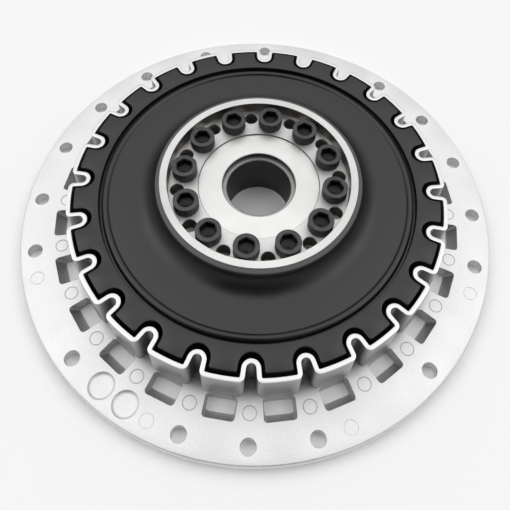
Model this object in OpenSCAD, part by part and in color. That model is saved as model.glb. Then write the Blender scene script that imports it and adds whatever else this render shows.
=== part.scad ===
// Flexible flywheel coupling with a toothed rubber disc. Sizes are in millimetres.
// It lies with the flywheel side down: the origin is at the centre of that face, +Z is up,
// -Y is the near side and angles on the flange are counted from there, clockwise from above.

/* [Flange] */
// Outer diameter that centres the flange in the flywheel
flange_d = 466.7; // [440:0.1:500]
// Plate thickness
flange_t = 12; // [8:0.5:18]
// Chamfer on both edges of the plate
flange_chamfer = 1.2; // [0.5:0.1:2.5]
// Distance from the bolt circle to the edge
bolt_inset = 14.275; // [12:0.025:18]
// Bolt hole diameter
bolt_hole_d = 13.5; // [10:0.5:16]
// Diameter of the round spot marks on the inner circle
spot_d = 11; // [8:0.5:13]
// Diameter of the round spot marks on the bolt circle
outer_spot_d = 12; // [8:0.5:16]
// Depth of the spot marks
spot_depth = 0.3; // [0.2:0.1:1]
// Diameter of the two dished recesses
dish_d = 23; // [18:0.5:25]
// Depth of the dished recesses
dish_depth = 2; // [1:0.25:5]
// Distance of the dished recesses inside the bolt circle
dish_inset = 2.5; // [0:0.25:4]
// Width of the flange outside the toothed wall
rim_w = 51.55; // [46:0.05:60]

/* [Toothed wall] */
// Number of teeth
teeth = 24; // [20:1:26]
// Height of the driving ring from the flywheel face to the wall's top
ring_h = 54; // [44:0.5:70]
// Wall thickness
wall_t = 3.8; // [2.5:0.1:5]
// Depth of a metal tooth, from the wall's inner arc to the tooth's tip
tooth_depth = 15.3; // [11:0.1:18]
// Radius of the groove's round end on the outside of a tooth
groove_r = 4.2; // [3:0.1:5.5]
// Slope of a tooth's flanks, in degrees
flank_slope = 6; // [2:0.5:10]
// Corner radius where the groove meets the outer arc
wall_corner_r = 5; // [4:0.25:6]

/* [Windows] */
// Width of a window along the circle
window_w = 27.5; // [20:0.5:31]
// Depth of a window along the radius
window_l = 18.5; // [12:0.5:22]
// Corner radius of a window
window_corner_r = 3; // [1:0.25:5]
// Ledge between the wall and a window
window_ledge = 0.6; // [0.4:0.1:1.5]
// Straight land at the top of a window, above its sloped walls
window_land = 1; // [0.5:0.25:3]
// Slope of a window's outer wall, from the land to the bottom
window_slope = 9; // [2:0.5:10]
// Taper of each end of a window, from the land to the bottom
window_taper = 3; // [0.5:0.25:5]

/* [Rubber element] */
// Clearance between the flanks of metal and rubber teeth
flank_gap = 0.8; // [0.4:0.1:1.2]
// Clearance at the outer end of a rubber tooth
end_gap = 2.8; // [1:0.1:4]
// Clearance between a metal tooth's tip and the rubber
tip_gap = 4.3; // [3:0.1:7]
// Corner radius of a rubber tooth
rubber_corner_r = 3; // [1.5:0.25:4]
// Height by which the rubber teeth stand above the wall
rubber_proud = 2; // [0:0.25:6]
// Axial length of the rubber teeth
rubber_tooth_h = 42; // [34:0.5:50]
// Width of the flat band inside the notches
band_w = 6.3; // [4:0.1:8]
// Width of the groove inside the band
band_groove_w = 2.5; // [1.5:0.25:4]
// Depth of the groove below the band
band_groove_h = 6; // [4:0.5:9]
// Radius of the round bead beside the groove
bead_r = 3.5; // [2.5:0.25:4.5]
// Drop from the band to the disc beside the bead
disc_drop = 3; // [2.5:0.25:5]
// Thickness of the disc
disc_t = 26; // [20:0.5:30]
// Radius of the hollow where the neck runs into the disc
neck_r = 12; // [8:0.5:14]
// Width of the lip around the sleeve
lip_w = 4; // [3:0.25:7]
// Slope of the lip's top over its width
lip_fall = 1.2; // [0.5:0.1:2.5]
// Drop from the sleeve's top to the lip
lip_drop = 1; // [0.5:0.25:3]

/* [Element ring] */
// Outer radius of the steel sleeve, to which the rubber is bonded
sleeve_r = 94; // [91:0.5:97]
// Thickness of the sleeve
sleeve_t = 7; // [5:0.25:7.5]
// Height of the sleeve's top above the rubber teeth
sleeve_rise = 16.5; // [14:0.5:20]
// Axial length of the sleeve
sleeve_h = 54.5; // [50:0.5:58]
// Depth from the sleeve's top to the bolting face
face_drop = 14; // [12:0.5:20]
// Thickness of the bolting flange
face_t = 16; // [12:0.5:20]
// Land between the screw heads and the pilot bore
pilot_land = 2.2; // [1:0.1:4]
// Diameter of the plain holes between the screws
plain_hole_d = 13; // [10:0.5:15]
// Land between the plain holes and the sleeve
plain_land = 2; // [0.5:0.1:3]

/* [Hub] */
// Bore diameter
bore_d = 62; // [50:0.5:66]
// Step from the bore out to the counterbore
counterbore_step = 4.4; // [2:0.1:6]
// Counterbore depth
counterbore_depth = 5.5; // [4:0.5:14]
// Drop from the bolting face to the hub's face
hub_sink = 1.5; // [0.5:0.25:4]
// Thickness of the hub's flange
hub_flange_t = 22; // [18:0.5:24]
// Step from the spigot in to the hub's barrel below its flange
barrel_step = 6.5; // [2:0.5:10]
// Clearance between the hub's spigot and the pilot bore
pilot_gap = 0.05; // [0.02:0.01:0.2]
// Clearance between the hub's flange and the sleeve
hub_gap = 1.5; // [0.5:0.25:3]
// Chamfer on the hub's turned edges
hub_chamfer = 1; // [0.5:0.25:2]

/* [Screws] */
// Number of screws
screws = 12; // [8:1:12]
// Clearance between the screw heads and the sleeve
head_gap = 2.5; // [1.5:0.1:4]
// Thread diameter
screw_d = 16; // [12:1:16]
// Head diameter
head_d = 24; // [20:0.5:24.5]
// Head height
head_h = 12; // [10:0.5:16.5]
// Screw length below the head
screw_l = 35; // [28:1:37]
// Width across flats of the hexagon socket
socket_af = 14; // [10:1:15]
// Depth of the hexagon socket
socket_depth = 8; // [5:0.5:10]
// Clearance of the screw's hole, across the diameter
screw_hole_gap = 1.5; // [0.5:0.25:2]
// Clearance of the tapped hole, across the diameter
tapped_gap = 0.2; // [0.1:0.05:0.4]
// Chamfer around the head's top and the screw's tip
screw_chamfer = 0.75; // [0.5:0.25:1.5]

/* [Hidden] */
$fn = 96;
// curves that run into each other overlap by this much, so that none merely touch
overlap = 0.02;
// cuts reach this far past the face they open
through = 1;
flange_r = flange_d / 2;
bolt_r = flange_r - bolt_inset;
wall_r = flange_r - rim_w;
pitch = 360 / teeth;
// bolt holes, in degrees from the near side: single ones, and pairs to the left and right
single_bolt_angles = [0, 161, 180];
paired_bolt_angles = [15, 45, 75, 90, 107, 123.5, 141];
// spot marks and dished recesses on the bolt circle, in degrees from the near side
spot_angles = [-67.5, -22.5, 22.5, 67.5];
dish_angles = [28.5, 35.5];
// toothed wall: the cavity is the space that the wall surrounds
cavity_r = wall_r - wall_t;
tip_r = cavity_r - tooth_depth;
tooth_r = groove_r + wall_t;
tooth_mid = tip_r + tooth_r;
window_in = wall_r + window_ledge;
window_out = window_in + window_l;
spot_circle_r = window_in + window_l / 2;
// rubber teeth
rubber_r = cavity_r - end_gap;
notch_r = tooth_r + flank_gap - tip_gap * tan(flank_slope);
notch_mid = tip_r - tip_gap + notch_r;
rubber_z1 = ring_h + rubber_proud;
rubber_z0 = rubber_z1 - rubber_tooth_h;
disc_z1 = rubber_z1 - disc_drop;
disc_z0 = disc_z1 - disc_t;
band_r = tip_r - tip_gap - band_w;
bead_mid = band_r - band_groove_w - bead_r;
lip_r = sleeve_r + lip_w;
sleeve_top = rubber_z1 + sleeve_rise;
sleeve_bottom = sleeve_top - sleeve_h;
lip_z = sleeve_top - lip_drop;
// sleeve, hub and screws
face_z = sleeve_top - face_drop;
seat_z = face_z - face_t;
hub_z = face_z - hub_sink;
sleeve_in = sleeve_r - sleeve_t;
screw_pcr = sleeve_in - head_gap - head_d / 2;
pilot_r = screw_pcr - head_d / 2 - pilot_land;
plain_hole_r = sleeve_in - plain_land - plain_hole_d / 2;
hub_flange_r = sleeve_in - hub_gap;
hub_flange_z = seat_z - hub_flange_t;
spigot_r = pilot_r - pilot_gap;
barrel_r = spigot_r - barrel_step;
screw_angle = 7;

// Places its children at an angle on the flange, counted from the near side, pointing outwards
module at_angle(a) {
    rotate(-90 - a) children();
}

// Half-width of a tooth's straight flank at a radius, for a tooth grown by a margin
function flank_half(r, grow) = groove_r + (r - tooth_mid) * tan(flank_slope) + grow / cos(flank_slope);

// Centre of the corner circle that rounds a flank into an arc of radius r
function corner_mid(grow, r, c) =
    let (d = [cos(flank_slope), sin(flank_slope)],
         n = [-d.y, d.x],
         q = [tooth_mid, flank_half(tooth_mid, grow)] + (c - overlap) * n,
         s = -q * d + sqrt(pow(q * d, 2) - q * q + pow(r - c + overlap, 2)))
    q + s * d;

// Outline of a tooth with a round end, opened through an arc of radius r with corner radius c
module tooth_outline(end_mid, end_r, grow, r, c) {
    m = corner_mid(grow, r, c);
    n = [-sin(flank_slope), cos(flank_slope)];
    f = m - c * n;
    g = m * (r + through) / norm(m);
    w0 = flank_half(end_mid, grow) - overlap;
    w1 = flank_half(r + through, grow);
    translate([end_mid, 0]) circle(end_r);
    polygon([[end_mid, -w0], [r + through, -w1], [r + through, w1], [end_mid, w0]]);
    difference() {
        polygon([[f.x, -f.y + overlap], [g.x, -g.y], [g.x, g.y], [f.x, f.y - overlap]]);
        for (s = [-1, 1]) translate([m.x, s * m.y]) circle(c);
    }
}

// Area inside the wall's outer surface
module wall_outline() {
    difference() {
        circle(wall_r);
        for (i = [0:teeth - 1]) at_angle(i * pitch)
            tooth_outline(tooth_mid, groove_r, 0, wall_r, wall_corner_r);
    }
}

// Cavity that the wall leaves for the rubber
module cavity_outline() {
    difference() {
        circle(cavity_r);
        for (i = [0:teeth - 1]) at_angle(i * pitch)
            tooth_outline(tooth_mid, tooth_r, wall_t, cavity_r, wall_corner_r - wall_t);
    }
}

// Toothed outline of the rubber
module rubber_outline() {
    difference() {
        circle(rubber_r);
        for (i = [0:teeth - 1]) at_angle(i * pitch)
            tooth_outline(notch_mid, notch_r, wall_t + flank_gap, rubber_r, rubber_corner_r);
    }
}

// Rectangle with round corners
module rounded_rectangle(l, w, r) {
    square([l, w - 2 * r], center = true);
    square([l - 2 * r, w], center = true);
    for (x = [-1, 1], y = [-1, 1])
        translate([x * (l / 2 - r), y * (w / 2 - r)]) circle(r);
}

// Space of one window: straight along the wall, sloped at its outer side and tapered at its ends
module window_cut() {
    z = flange_t - window_land;
    out = window_slope / z;
    end = window_taper / z;
    reach = 2 * through;
    half = window_w / 2;
    intersection() {
        translate([window_in + window_l / 2, 0, -through]) linear_extrude(flange_t + reach)
            rounded_rectangle(window_l, window_w, window_corner_r);
        translate([0, half + reach, 0]) rotate([90, 0, 0]) linear_extrude(window_w + 2 * reach)
            polygon([[window_in - reach, -reach], [window_out - window_slope - reach * out, -reach],
                     [window_out + reach * out, z + reach], [window_out + reach * out, z + 2 * reach],
                     [window_in - reach, z + 2 * reach]]);
        translate([window_in - reach, 0, 0]) rotate([90, 0, 90]) linear_extrude(window_l + 2 * reach)
            polygon([[window_taper - half + reach * end, -reach], [half - window_taper - reach * end, -reach],
                     [half + reach * end, z + reach], [half + reach * end, z + 2 * reach],
                     [-half - reach * end, z + 2 * reach], [-half - reach * end, z + reach]]);
    }
}

// Ring of triangular section that chamfers an outer edge at height z; up is 1 for a top edge
module edge_chamfer(r, z, c, up) {
    rotate_extrude()
        polygon([[r - c, z], [r + through, z], [r + through, z - up * (c + through)]]);
}

// Cast ring: flange, windows and corrugated wall in one piece
module driving_ring() {
    color([0.83, 0.84, 0.85]) difference() {
        union() {
            linear_extrude(flange_t) difference() {
                circle(flange_r);
                cavity_outline();
                for (a = single_bolt_angles) at_angle(a) translate([bolt_r, 0]) circle(d = bolt_hole_d);
                for (a = paired_bolt_angles, s = [-1, 1]) at_angle(s * a)
                    translate([bolt_r, 0]) circle(d = bolt_hole_d);
            }
            translate([0, 0, flange_t]) linear_extrude(ring_h - flange_t) difference() {
                wall_outline();
                cavity_outline();
            }
        }
        edge_chamfer(flange_r, flange_t, flange_chamfer, 1);
        edge_chamfer(flange_r, 0, flange_chamfer, -1);
        for (i = [0:teeth - 1]) at_angle((i + 0.5) * pitch) window_cut();
        for (i = [0:teeth - 1]) at_angle(i * pitch)
            translate([spot_circle_r, 0, flange_t - spot_depth]) cylinder(h = spot_depth + through, d = spot_d);
        for (a = spot_angles) at_angle(a)
            translate([bolt_r, 0, flange_t - spot_depth]) cylinder(h = spot_depth + through, d = outer_spot_d);
        for (a = dish_angles) at_angle(a)
            translate([bolt_r - dish_inset, 0, flange_t - dish_depth])
                cylinder(h = dish_depth + through, d = dish_d);
    }
}

// Section of the rubber disc between the sleeve and the toothed band
module disc_section() {
    neck_x = lip_r + neck_r;
    difference() {
        polygon([[sleeve_r, disc_z0 - neck_r / 2], [lip_r, disc_z0 - neck_r / 2], [lip_r + neck_r / 2, disc_z0],
                 [band_r + band_groove_w, disc_z0], [band_r + band_groove_w, rubber_z1 - band_groove_h],
                 [bead_mid + bead_r - overlap, rubber_z1 - band_groove_h], [bead_mid - bead_r, disc_z1 - bead_r / 4],
                 [neck_x, disc_z1], [lip_r, disc_z1 + neck_r], [lip_r, lip_z - lip_fall], [sleeve_r, lip_z]]);
        translate([neck_x + overlap, disc_z1 + neck_r]) circle(neck_r);
    }
    translate([bead_mid, disc_z1 - bead_r / 2]) circle(bead_r);
}

// Rubber disc with teeth, moulded in one piece
module rubber_element() {
    color([0.13, 0.13, 0.13]) {
        translate([0, 0, rubber_z0]) linear_extrude(rubber_tooth_h) difference() {
            rubber_outline();
            circle(band_r);
        }
        rotate_extrude() disc_section();
    }
}

// Steel sleeve with the bolting flange, bonded into the rubber
module element_ring() {
    color([0.72, 0.73, 0.74]) difference() {
        rotate_extrude() polygon([[pilot_r, seat_z], [sleeve_in, seat_z], [sleeve_in, sleeve_bottom],
                                  [sleeve_r, sleeve_bottom], [sleeve_r, sleeve_top], [sleeve_in, sleeve_top],
                                  [sleeve_in, face_z], [pilot_r, face_z]]);
        for (i = [0:screws - 1]) {
            at_angle(screw_angle + i * 360 / screws) translate([screw_pcr, 0, seat_z - through])
                cylinder(h = face_t + 2 * through, d = screw_d + screw_hole_gap);
            at_angle(screw_angle + (i + 0.5) * 360 / screws) translate([plain_hole_r, 0, seat_z - through])
                cylinder(h = face_t + 2 * through, d = plain_hole_d);
        }
    }
}

// Hub with a flange under the element ring and a spigot in its pilot bore
module hub() {
    bore_r = bore_d / 2;
    counterbore_r = bore_r + counterbore_step;
    color([0.8, 0.81, 0.82]) difference() {
        rotate_extrude() polygon([[bore_r, hub_chamfer], [bore_r + hub_chamfer, 0], [barrel_r - hub_chamfer, 0],
                                  [barrel_r, hub_chamfer], [barrel_r, hub_flange_z],
                                  [hub_flange_r - hub_chamfer, hub_flange_z],
                                  [hub_flange_r, hub_flange_z + hub_chamfer], [hub_flange_r, seat_z],
                                  [spigot_r, seat_z], [spigot_r, hub_z], [counterbore_r, hub_z],
                                  [counterbore_r, hub_z - counterbore_depth],
                                  [bore_r, hub_z - counterbore_depth]]);
        for (i = [0:screws - 1]) at_angle(screw_angle + i * 360 / screws)
            translate([screw_pcr, 0, hub_flange_z - through])
                cylinder(h = hub_flange_t + 2 * through, d = screw_d + tapped_gap);
    }
}

// Socket head cap screw, its head resting on z = 0
module cap_screw() {
    difference() {
        rotate_extrude() polygon([[0, -screw_l], [screw_d / 2 - screw_chamfer, -screw_l],
                                  [screw_d / 2, screw_chamfer - screw_l], [screw_d / 2, 0], [head_d / 2, 0],
                                  [head_d / 2, head_h - screw_chamfer], [head_d / 2 - screw_chamfer, head_h],
                                  [0, head_h]]);
        translate([0, 0, head_h - socket_depth])
            cylinder(h = socket_depth + through, d = socket_af / cos(30), $fn = 6);
    }
}

// The screws that hold the hub to the element ring
module hub_screws() {
    color([0.2, 0.2, 0.21]) for (i = [0:screws - 1]) at_angle(screw_angle + i * 360 / screws)
        translate([screw_pcr, 0, face_z]) cap_screw();
}

driving_ring();
rubber_element();
element_ring();
hub();
hub_screws();
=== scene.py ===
"""Flexible flywheel coupling: a cast flange with a toothed wall, a rubber disc and a steel hub."""
import logging
import math
from dataclasses import dataclass, field
from enum import Enum
from typing import ClassVar, Iterable

import bmesh
import bpy
from mathutils import Matrix, Vector


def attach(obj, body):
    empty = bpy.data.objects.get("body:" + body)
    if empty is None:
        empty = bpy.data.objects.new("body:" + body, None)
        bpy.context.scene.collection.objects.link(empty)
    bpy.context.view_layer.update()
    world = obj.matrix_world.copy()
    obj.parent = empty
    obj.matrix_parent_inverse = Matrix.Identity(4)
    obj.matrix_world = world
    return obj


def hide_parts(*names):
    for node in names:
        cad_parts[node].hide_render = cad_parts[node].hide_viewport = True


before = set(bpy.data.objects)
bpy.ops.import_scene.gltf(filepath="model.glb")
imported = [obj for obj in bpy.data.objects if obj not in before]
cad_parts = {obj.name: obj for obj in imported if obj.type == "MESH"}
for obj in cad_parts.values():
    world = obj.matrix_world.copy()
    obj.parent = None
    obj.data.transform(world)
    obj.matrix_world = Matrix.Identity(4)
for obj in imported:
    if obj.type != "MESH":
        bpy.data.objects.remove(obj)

LOG = logging.getLogger("coupling")
MM = 0.001
ORIGIN = Vector((0.0, 0.0, 0.0))
Y_AXIS = Vector((0.0, 1.0, 0.0))
Z_AXIS = Vector((0.0, 0.0, 1.0))
FULL_TURN = 2.0 * math.pi
QUARTER_TURN = math.pi / 2.0

# Millimetres within which points are merged: in a whole mesh, and where drawn ends meet
WELD = 0.001
JOIN = 0.01
# Millimetres of play where faces are picked by their place
PLAY = 0.1
# Share of a rounded edge's width at which its middle point lies
EASE = 0.3
# Span that most values of a noise pattern lie in
NOISE_SPAN = (0.3, 0.7)
# Metres between the rings of a wave pattern at scale 1
WAVE_PITCH = 0.314

Triple = tuple[float, float, float]
Colour = Triple
Point = Iterable[float]
Profile = Iterable[tuple[float, float]]
Socket = bpy.types.NodeSocket
BMesh = bmesh.types.BMesh
BMVert = bmesh.types.BMVert
BMEdge = bmesh.types.BMEdge
BMFace = bmesh.types.BMFace
Loop = list[BMEdge]


class Slot(Enum):
    """Material slots of the record."""

    CAST = "cast_aluminium"
    RUBBER = "moulded_rubber"
    RING = "turned_steel"
    HUB = "hub_steel"
    SCREW = "black_oxide_steel"


class Graph:
    """The node tree of a material or a world, with short ways to add and join nodes."""

    def __init__(self, owner: bpy.types.Material | bpy.types.World) -> None:
        """Starts an empty tree.

        Args:
            owner: the material or world that the tree belongs to
        """
        owner.use_nodes = True
        self.owner = owner
        self.tree: bpy.types.NodeTree = owner.node_tree
        self.tree.nodes.clear()

    def node(self, kind: str, **settings: object) -> bpy.types.Node:
        """Adds a node and sets its properties.

        Args:
            kind: the node's type name
            settings: property values
        Returns:
            the new node
        """
        new = self.tree.nodes.new(kind)
        for key, value in settings.items():
            setattr(new, key, value)
        return new

    def link(self, source: Socket, target: Socket) -> None:
        """Joins two sockets."""
        self.tree.links.new(source, target)

    def place(self) -> Socket:
        """Returns the object coordinates."""
        return self.node("ShaderNodeTexCoord").outputs["Object"]

    def noise(self, scale: float, detail: float, stretch: Triple | None = None) -> Socket:
        """Adds a noise pattern on object coordinates.

        Args:
            scale: pattern repeats per metre
            detail: octaves
            stretch: optional factors along the axes
        Returns:
            the grey value
        """
        source = self.place()
        if stretch is not None:
            mapping = self.node("ShaderNodeMapping")
            mapping.inputs["Scale"].default_value = stretch
            self.link(source, mapping.inputs["Vector"])
            source = mapping.outputs["Vector"]
        new = self.node("ShaderNodeTexNoise")
        new.inputs["Scale"].default_value = scale
        new.inputs["Detail"].default_value = detail
        self.link(source, new.inputs["Vector"])
        return new.outputs["Fac"]

    def rings(self, pitch: float, waver: float) -> Socket:
        """Adds turning rings about the Z axis.

        Args:
            pitch: distance between rings in metres
            waver: unevenness of the rings
        Returns:
            the grey value
        """
        new = self.node("ShaderNodeTexWave", wave_type="RINGS", rings_direction="Z", wave_profile="SIN")
        new.inputs["Scale"].default_value = WAVE_PITCH / pitch
        new.inputs["Distortion"].default_value = waver
        new.inputs["Detail"].default_value = 2.0
        self.link(self.place(), new.inputs["Vector"])
        return new.outputs["Fac"]

    def radius(self) -> Socket:
        """Measures the distance from the Z axis.

        Returns:
            the distance
        """
        flat = self.node("ShaderNodeMapping")
        flat.inputs["Scale"].default_value = (1.0, 1.0, 0.0)
        self.link(self.place(), flat.inputs["Vector"])
        new = self.node("ShaderNodeVectorMath", operation="LENGTH")
        self.link(flat.outputs["Vector"], new.inputs[0])
        return new.outputs["Value"]

    def height(self, source: Socket) -> Socket:
        """Takes the upward part of a vector.

        Args:
            source: the vector
        Returns:
            its height
        """
        new = self.node("ShaderNodeSeparateXYZ")
        self.link(source, new.inputs["Vector"])
        return new.outputs["Z"]

    def combined(self, operation: str, one: Socket, two: Socket) -> Socket:
        """Combines two grey values.

        Args:
            operation: what is done with them
            one: the first value
            two: the second value
        Returns:
            the result
        """
        new = self.node("ShaderNodeMath", operation=operation)
        self.link(one, new.inputs[0])
        self.link(two, new.inputs[1])
        return new.outputs["Value"]

    def scaled(self, colour: Socket, factor: Socket) -> Socket:
        """Scales a colour by a grey value.

        Args:
            colour: the colour
            factor: the grey value
        Returns:
            the scaled colour
        """
        new = self.node("ShaderNodeVectorMath", operation="SCALE")
        self.link(colour, new.inputs[0])
        self.link(factor, new.inputs["Scale"])
        return new.outputs["Vector"]

    def span(self, value: Socket, low: float, high: float, from_low: float = 0.0,
             from_high: float = 1.0, smooth: bool = False) -> Socket:
        """Maps a value to a range.

        Args:
            value: the value to map
            low: result at from_low
            high: result at from_high
            from_low: start of the input range
            from_high: end of the input range
            smooth: whether the change eases in and out
        Returns:
            the mapped value
        """
        new = self.node("ShaderNodeMapRange", interpolation_type="SMOOTHSTEP" if smooth else "LINEAR")
        new.inputs["From Min"].default_value = from_low
        new.inputs["From Max"].default_value = from_high
        new.inputs["To Min"].default_value = low
        new.inputs["To Max"].default_value = high
        self.link(value, new.inputs["Value"])
        return new.outputs["Result"]

    def tint(self, value: Socket, dark: Colour, light: Colour,
             between: tuple[float, float] = NOISE_SPAN) -> Socket:
        """Maps a value to a colour between two tones.

        Args:
            value: the grey value
            dark: colour at the start of the span
            light: colour at its end
            between: the span of grey values
        Returns:
            the colour
        """
        ramp = self.node("ShaderNodeValToRGB")
        for element, position, tone in zip(ramp.color_ramp.elements, between, (dark, light)):
            element.position = position
            element.color = (*tone, 1.0)
        self.link(value, ramp.inputs["Fac"])
        return ramp.outputs["Color"]

    def bump(self, *layers: tuple[Socket, float]) -> Socket:
        """Stacks bump layers.

        Args:
            layers: pairs of a grey value and its depth in metres
        Returns:
            the bumped normal
        """
        normal = None
        for height, depth in layers:
            new = self.node("ShaderNodeBump")
            new.inputs["Strength"].default_value = 1.0
            new.inputs["Distance"].default_value = depth
            self.link(height, new.inputs["Height"])
            if normal is not None:
                self.link(normal, new.inputs["Normal"])
            normal = new.outputs["Normal"]
        return normal

    def shader(self, metallic: float, roughness: float, specular: float = 0.5) -> bpy.types.Node:
        """Adds the surface shader and joins it to the output.

        Args:
            metallic: 1 for bare metal
            roughness: base roughness
            specular: specular level
        Returns:
            the shader node
        """
        new = self.node("ShaderNodeBsdfPrincipled")
        new.inputs["Metallic"].default_value = metallic
        new.inputs["Roughness"].default_value = roughness
        new.inputs["Specular IOR Level"].default_value = specular
        out = self.node("ShaderNodeOutputMaterial")
        self.link(new.outputs["BSDF"], out.inputs["Surface"])
        return new


@dataclass(frozen=True)
class CastFinish:
    """Satin die-cast aluminium with fine grain and faint flow marks, and painted shade down in the
    wall's grooves.
    """

    dark: Colour = (0.76, 0.76, 0.76)
    light: Colour = (0.84, 0.84, 0.84)
    roughness: float = 0.56
    smoother: float = 0.06
    rougher: float = 0.08
    grain: float = 900.0
    grain_depth: float = 0.00012
    speckle: float = 0.2
    flow: float = 28.0
    flow_depth: float = 0.0002
    groove_shade_tone: float = 0.4
    groove_at: float = 0.174
    clear_at: float = 0.187
    shade_from: float = 0.005
    shade_full: float = 0.01

    def material(self) -> bpy.types.Material:
        """Builds the finish.

        Returns:
            the material
        """
        g = Graph(bpy.data.materials.new("cast_aluminium"))
        surface = g.shader(1.0, self.roughness)
        flow = g.noise(self.flow, detail=4.0)
        grain = g.noise(self.grain, detail=2.0)
        speckle = g.combined("ADD", flow, g.span(grain, -self.speckle, self.speckle, *NOISE_SPAN))
        # Painted shade: the colour darkens towards the foot of the wall's grooves, except on faces near
        # the floor.
        groove = g.span(g.radius(), self.groove_shade_tone, 1.0, self.groove_at, self.clear_at)
        underside = g.span(g.height(g.place()), 1.0, 0.0, self.shade_from, self.shade_full)
        tone = g.scaled(g.tint(speckle, self.dark, self.light), g.combined("MAXIMUM", groove, underside))
        rough = g.span(flow, self.roughness - self.smoother, self.roughness + self.rougher, *NOISE_SPAN)
        normal = g.bump((flow, self.flow_depth), (grain, self.grain_depth))
        g.link(tone, surface.inputs["Base Color"])
        g.link(rough, surface.inputs["Roughness"])
        g.link(normal, surface.inputs["Normal"])
        return g.owner


@dataclass(frozen=True)
class CastSkinFinish:
    """Duller as-cast skin, with painted shade that makes it darkest down in the grooves of the wall."""

    # deep is the painted shade at the bottom of the wall's grooves; bare is the skin's own tone
    deep: Colour = (0.28, 0.278, 0.275)
    bare: Colour = (0.54, 0.54, 0.54)
    deepest_shade_at: float = 0.174
    bare_at: float = 0.1815
    bare_share: float = 0.9
    roughness: float = 0.46
    grain: float = 900.0
    grain_depth: float = 0.00008
    mottle: float = 0.12
    flow: float = 90.0
    flow_depth: float = 0.0002
    flow_stretch: Triple = (1.0, 1.0, 0.35)

    def material(self) -> bpy.types.Material:
        """Builds the finish.

        Returns:
            the material
        """
        g = Graph(bpy.data.materials.new("cast_skin"))
        surface = g.shader(1.0, self.roughness)
        flow = g.noise(self.flow, detail=4.0, stretch=self.flow_stretch)
        grain = g.noise(self.grain, detail=2.0)
        # Painted shade: the tone runs from bare towards deep down in the wall's grooves.
        depth = g.span(g.radius(), 0.0, self.bare_share, self.deepest_shade_at, self.bare_at)
        shade = g.combined("ADD", depth, g.span(flow, -self.mottle, self.mottle, *NOISE_SPAN))
        normal = g.bump((flow, self.flow_depth), (grain, self.grain_depth))
        g.link(g.tint(shade, self.deep, self.bare, (0.0, 1.0)), surface.inputs["Base Color"])
        g.link(normal, surface.inputs["Normal"])
        return g.owner


@dataclass(frozen=True)
class MachinedFinish:
    """Bright faced edge of the casting."""

    base: Colour = (0.72, 0.72, 0.72)
    roughness: float = 0.4
    pitch: float = 0.0004
    waver: float = 0.6
    ring_depth: float = 0.000004

    def material(self) -> bpy.types.Material:
        """Builds the finish.

        Returns:
            the material
        """
        g = Graph(bpy.data.materials.new("machined_aluminium"))
        surface = g.shader(1.0, self.roughness)
        surface.inputs["Base Color"].default_value = (*self.base, 1.0)
        normal = g.bump((g.rings(self.pitch, self.waver), self.ring_depth))
        g.link(normal, surface.inputs["Normal"])
        return g.owner


@dataclass(frozen=True)
class RubberFinish:
    """Moulded black rubber, semi-matt, with fine moulding rings and grain."""

    name: str = "moulded_rubber"
    dark: Colour = (0.001, 0.001, 0.0011)
    light: Colour = (0.008, 0.008, 0.0081)
    roughness: float = 0.36
    smoother: float = 0.07
    rougher: float = 0.09
    specular: float = 0.6
    cloud: float = 18.0
    grain: float = 1800.0
    grain_depth: float = 0.00003
    pitch: float = 0.0011
    waver: float = 1.5
    ring_depth: float = 0.000006

    def material(self) -> bpy.types.Material:
        """Builds the finish.

        Returns:
            the material
        """
        g = Graph(bpy.data.materials.new(self.name))
        surface = g.shader(0.0, self.roughness, self.specular)
        cloud = g.noise(self.cloud, detail=5.0)
        grain = g.noise(self.grain, detail=2.0)
        rings = g.rings(self.pitch, self.waver)
        rough = g.span(cloud, self.roughness - self.smoother, self.roughness + self.rougher, *NOISE_SPAN)
        normal = g.bump((rings, self.ring_depth), (grain, self.grain_depth))
        g.link(g.tint(cloud, self.dark, self.light), surface.inputs["Base Color"])
        g.link(rough, surface.inputs["Roughness"])
        g.link(normal, surface.inputs["Normal"])
        return g.owner


@dataclass(frozen=True)
class TurnedFinish:
    """Turned steel with concentric tool marks, which draw the light out along the radius."""

    name: str
    dark: Colour = (0.64, 0.635, 0.625)
    light: Colour = (0.71, 0.705, 0.695)
    roughness: float = 0.48
    smoother: float = 0.04
    rougher: float = 0.06
    anisotropy: float = 0.5
    cloud: float = 40.0
    pitch: float = 0.0005
    waver: float = 0.8
    ring_depth: float = 0.000004

    def material(self) -> bpy.types.Material:
        """Builds the finish.

        Returns:
            the material
        """
        g = Graph(bpy.data.materials.new(self.name))
        surface = g.shader(1.0, self.roughness)
        surface.inputs["Anisotropic"].default_value = self.anisotropy
        tangent = g.node("ShaderNodeTangent", direction_type="RADIAL", axis="Z")
        rings = g.rings(self.pitch, self.waver)
        cloud = g.noise(self.cloud, detail=3.0)
        rough = g.span(rings, self.roughness - self.smoother, self.roughness + self.rougher)
        g.link(tangent.outputs["Tangent"], surface.inputs["Tangent"])
        g.link(g.tint(cloud, self.dark, self.light), surface.inputs["Base Color"])
        g.link(rough, surface.inputs["Roughness"])
        g.link(g.bump((rings, self.ring_depth)), surface.inputs["Normal"])
        return g.owner


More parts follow.
